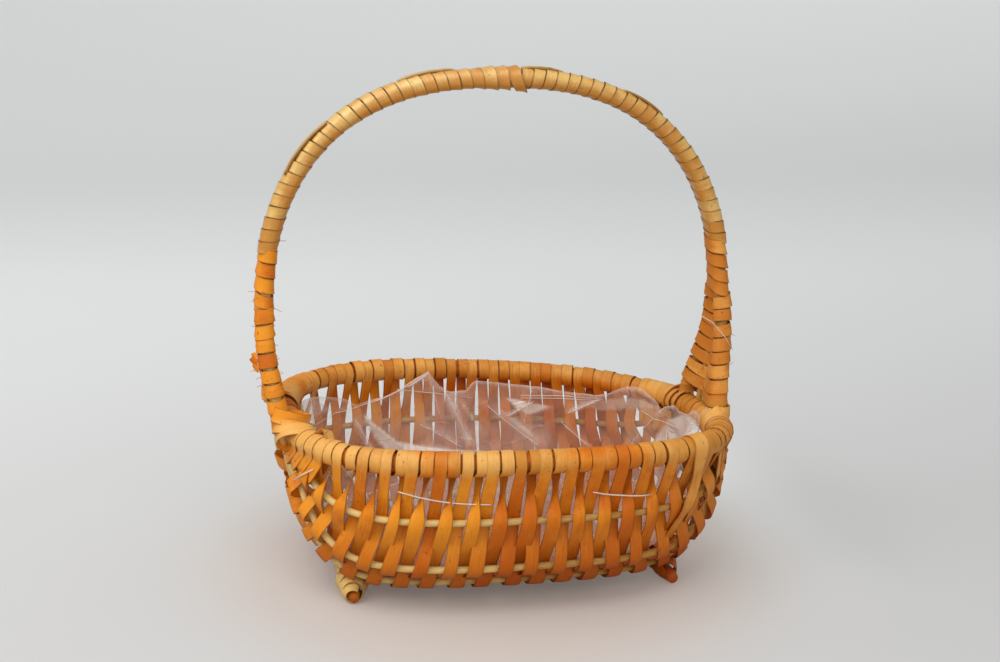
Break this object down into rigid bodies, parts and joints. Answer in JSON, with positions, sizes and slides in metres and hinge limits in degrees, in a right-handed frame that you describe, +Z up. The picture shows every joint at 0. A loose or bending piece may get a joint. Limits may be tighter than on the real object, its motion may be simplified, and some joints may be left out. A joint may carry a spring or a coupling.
{
  "type": "foraging basket",
  "caption": "Oval ribbed splint basket for foraging, with a splint-wound arch handle forked at its ends, cross skids as feet and a clear film liner",
  "frame": {"origin": "middle of the bounding box's underside, on the plane that the skids rest on", "axes": "+X along the basket towards its right end, +Y from the front to the back, +Z up; the handle's arch lies in the XZ plane"},
  "size_m": [0.3239, 0.2254, 0.3401],
  "materials": {
    "peeled_willow": "satin",
    "stained_splint": "satin",
    "pale_splint": "satin",
    "dark_wood": "matte",
    "clear_film": "gloss",
    "white_thread": "matte"
  },
  "bodies": {
    "root": {"rim_rod": "peeled_willow", "rib_1": "peeled_willow", "rib_2": "peeled_willow", "rib_3": "peeled_willow", "rib_4": "peeled_willow", "rib_5": "peeled_willow", "rib_6": "peeled_willow", "rib_7": "peeled_willow", "rib_8": "peeled_willow", "splint_01": "stained_splint", "splint_02": "stained_splint", "splint_03": "stained_splint", "splint_04": "stained_splint", "splint_05": "stained_splint", "splint_06": "stained_splint", "splint_07": "stained_splint", "splint_08": "stained_splint", "splint_09": "stained_splint", "splint_10": "stained_splint", "splint_11": "stained_splint", "splint_12": "stained_splint", "splint_13": "stained_splint", "splint_14": "stained_splint", "splint_15": "stained_splint", "splint_16": "stained_splint", "splint_17": "stained_splint", "splint_18": "stained_splint", "splint_19": "stained_splint", "splint_20": "stained_splint", "skid_left": "dark_wood", "skid_right": "dark_wood", "end_knot_left": "stained_splint", "end_knot_right": "stained_splint", "handle_rod_front": "peeled_willow", "handle_rod_back": "peeled_willow", "handle_lath": "pale_splint", "handle_winding_left": "pale_splint", "handle_winding_right": "pale_splint", "handle_apex_wrap": "pale_splint", "fork_winding_left": "stained_splint", "fork_winding_right": "stained_splint", "fork_rod_left_1": "peeled_willow", "fork_rod_left_2": "peeled_willow", "fork_rod_right_1": "peeled_willow", "fork_rod_right_2": "peeled_willow", "leg_lashing_left_front": "stained_splint", "leg_lashing_left_back": "stained_splint", "leg_lashing_right_front": "stained_splint", "leg_lashing_right_back": "stained_splint", "plastic_liner": "clear_film", "stitch_1": "white_thread", "stitch_2": "white_thread", "stitch_3": "white_thread"}
  },
  "joints": []
}
